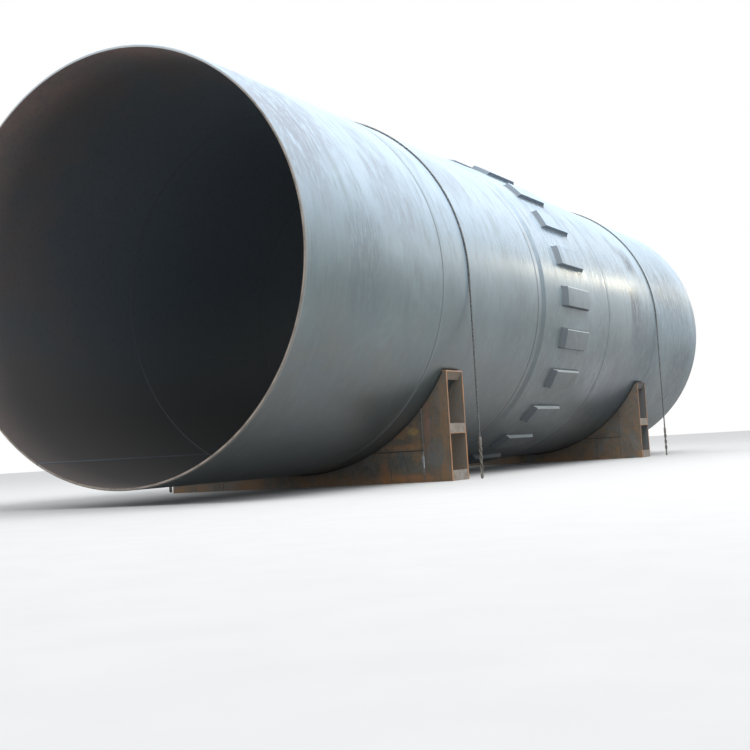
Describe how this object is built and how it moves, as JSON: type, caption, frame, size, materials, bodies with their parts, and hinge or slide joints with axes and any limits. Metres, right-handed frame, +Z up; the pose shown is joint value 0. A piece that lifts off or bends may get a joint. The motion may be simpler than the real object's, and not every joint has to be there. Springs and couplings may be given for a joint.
{
  "type": "rotary kiln shell section",
  "caption": "Open steel rotary kiln shell section of rolled and welded courses with a ring of tyre pads, lashed on two plate saddles.",
  "frame": {"origin": "on the floor under the middle of the shell, half way between its two rims", "axes": "+X along the shell from the front rim to the rear rim, +Y across it away from the viewed side, +Z up"},
  "size_m": [13.29, 4.1678, 4.2239],
  "materials": {
    "shell_plate": "rolled mill scale, blue grey, matt",
    "weld_metal": "as welded",
    "pad_plate": "rolled mill scale, flame cut edges",
    "rusted_plate": "rusted plate, flame cut edges",
    "grey_plate": "pale dusty plate",
    "wire_rope": "oiled wire rope"
  },
  "bodies": {
    "root": {"front_course": "shell_plate", "second_course": "shell_plate", "tyre_course": "shell_plate", "fourth_course": "shell_plate", "rear_course": "shell_plate", "front_girth_weld": "weld_metal", "second_girth_weld": "weld_metal", "third_girth_weld": "weld_metal", "fourth_girth_weld": "weld_metal", "front_lengthwise_weld": "weld_metal", "second_lengthwise_weld": "weld_metal", "tyre_lengthwise_weld": "weld_metal", "fourth_lengthwise_weld": "weld_metal", "rear_lengthwise_weld": "weld_metal", "tyre_pads": "pad_plate", "front_saddle_outer_webs": "rusted_plate", "front_saddle_upper_webs": "rusted_plate", "front_saddle_toe_plates": "rusted_plate", "front_saddle_keel_plates": "rusted_plate", "front_saddle_top_battens": "rusted_plate", "front_saddle_keel_spacers": "rusted_plate", "front_saddle_middle_battens": "grey_plate", "front_saddle_bottom_battens": "grey_plate", "front_lashing_rope": "wire_rope", "front_lashing_eyes": "wire_rope", "rear_saddle_outer_webs": "rusted_plate", "rear_saddle_upper_webs": "rusted_plate", "rear_saddle_toe_plates": "rusted_plate", "rear_saddle_keel_plates": "rusted_plate", "rear_saddle_top_battens": "rusted_plate", "rear_saddle_keel_spacers": "rusted_plate", "rear_saddle_middle_battens": "grey_plate", "rear_saddle_bottom_battens": "grey_plate", "rear_lashing_rope": "wire_rope", "rear_lashing_eyes": "wire_rope"}
  },
  "joints": []
}
